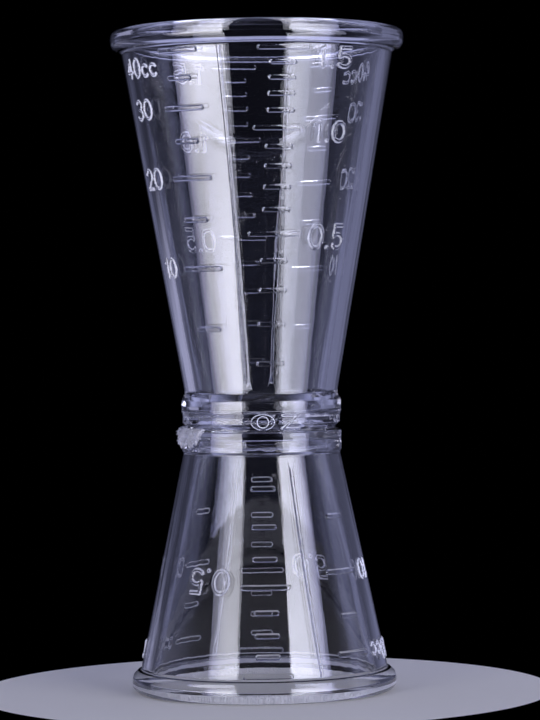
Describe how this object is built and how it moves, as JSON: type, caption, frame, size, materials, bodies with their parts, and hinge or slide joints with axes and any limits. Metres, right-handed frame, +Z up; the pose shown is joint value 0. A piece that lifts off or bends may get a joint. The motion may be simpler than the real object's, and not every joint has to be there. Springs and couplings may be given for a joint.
{
  "type": "cocktail jigger",
  "caption": "Clear double-ended bar measure: two conical cups with rolled rims bonded foot to foot, with raised volume scales on the outside.",
  "frame": {"origin": "centre of the small cup's mouth plane, on the common axis, where the part stands", "axes": "+Z up along the common axis, from the small mouth to the large mouth; -Y is the front that the picture shows"},
  "size_m": [0.0468, 0.0468, 0.1052],
  "materials": {
    "large_cup": "clear, polished moulded plastic",
    "small_cup": "clear, polished moulded plastic",
    "cement": "clear to whitish cured cement, rough where it was squeezed out"
  },
  "bodies": {
    "root": {"large_cup": "large_cup", "small_cup": "small_cup", "cement_bead": "cement"}
  },
  "joints": []
}
